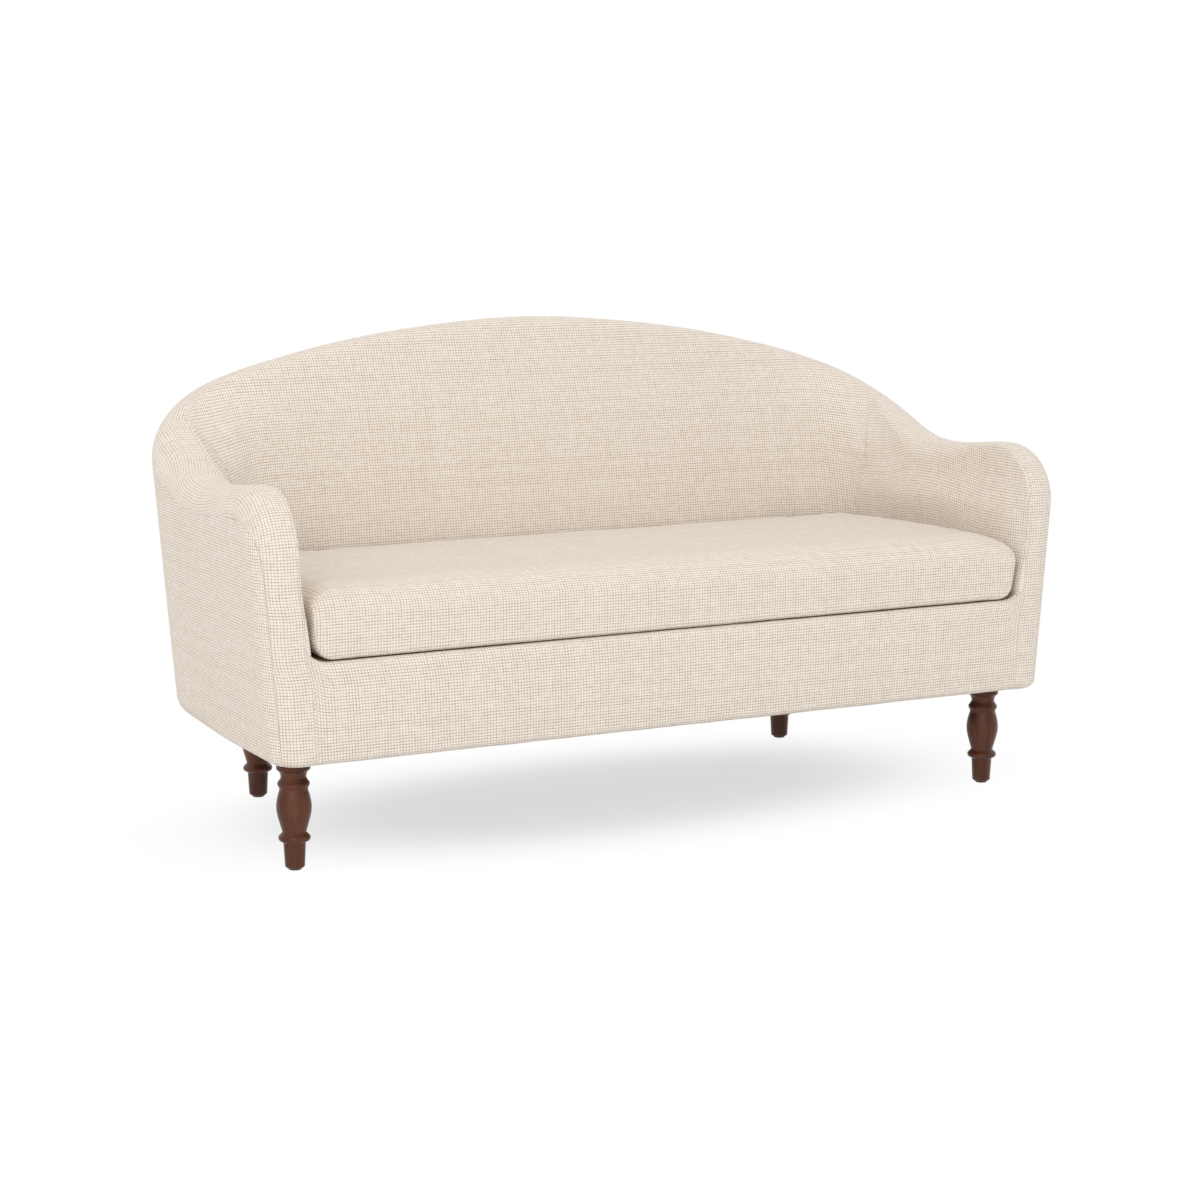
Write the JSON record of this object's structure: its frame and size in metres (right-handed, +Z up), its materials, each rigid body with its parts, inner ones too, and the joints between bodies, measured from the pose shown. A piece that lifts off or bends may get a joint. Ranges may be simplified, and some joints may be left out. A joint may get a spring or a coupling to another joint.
{
  "type": "settee",
  "caption": "Upholstered settee with a flared tub body, arched back, loose bench cushion and turned dark wood legs.",
  "frame": {"origin": "on the floor, under the middle of the bounding box", "axes": "+X to the right seen from the front, +Y to the back, +Z up; the front faces -Y"},
  "size_m": [1.5306, 0.682, 0.8405],
  "materials": {
    "upholstery": "woven small check, cream with tan lines",
    "leg_wood": "dark walnut, satin",
    "frame_wood": "raw hardwood",
    "steel": "plain",
    "foam": "foam with a fibre wrap",
    "lining": "plain cotton",
    "webbing": "woven strap",
    "dust_cloth": "black non-woven cloth",
    "glide": "dark",
    "zip_metal": "beige enamel"
  },
  "bodies": {
    "body": {"arm_band_left": "upholstery", "arm_band_right": "upholstery", "arm_post_left": "frame_wood", "arm_post_right": "frame_wood", "arm_straps_left": "webbing", "arm_straps_right": "webbing", "arm_tack_rail_left": "frame_wood", "arm_tack_rail_right": "frame_wood", "arm_top_rail_left": "frame_wood", "arm_top_rail_right": "frame_wood", "back_band": "upholstery", "back_post_left": "frame_wood", "back_post_right": "frame_wood", "back_rail": "frame_wood", "back_straps": "webbing", "back_tack_rail": "frame_wood", "back_top_rail": "frame_wood", "back_uprights": "frame_wood", "corner_blocks": "frame_wood", "corner_rail_left": "frame_wood", "corner_rail_right": "frame_wood", "deck_cloth": "lining", "deck_pad": "foam", "dust_cover": "dust_cloth", "edge_roll": "foam", "front_border": "upholstery", "front_rail": "frame_wood", "glides": "glide", "hanger_bolts": "steel", "inside_arm_left": "upholstery", "inside_arm_right": "upholstery", "inside_back": "upholstery", "leg_back_left": "leg_wood", "leg_back_right": "leg_wood", "leg_front_left": "leg_wood", "leg_front_right": "leg_wood", "leg_plates": "steel", "outside_arm_left": "upholstery", "outside_arm_right": "upholstery", "outside_back": "upholstery", "plate_screws": "steel", "seat_springs": "steel", "seat_stretchers": "frame_wood", "side_rail_left": "frame_wood", "side_rail_right": "frame_wood", "spring_clips": "steel", "tie_wires": "steel"},
    "seat_cushion": {"seat_cushion": "upholstery", "zip_tape": "lining"},
    "zip_slider": {"zip_slider": "zip_metal"}
  },
  "joints": [
    {"name": "cushion_lift", "type": "slide", "parent": "body", "child": "seat_cushion", "axis": [0, 0, 1], "range_m": [0, 0.5]},
    {"name": "zip_slide", "type": "slide", "parent": "seat_cushion", "child": "zip_slider", "axis": [-1, 0, 0], "range_m": [0, 0.87]}
  ]
}
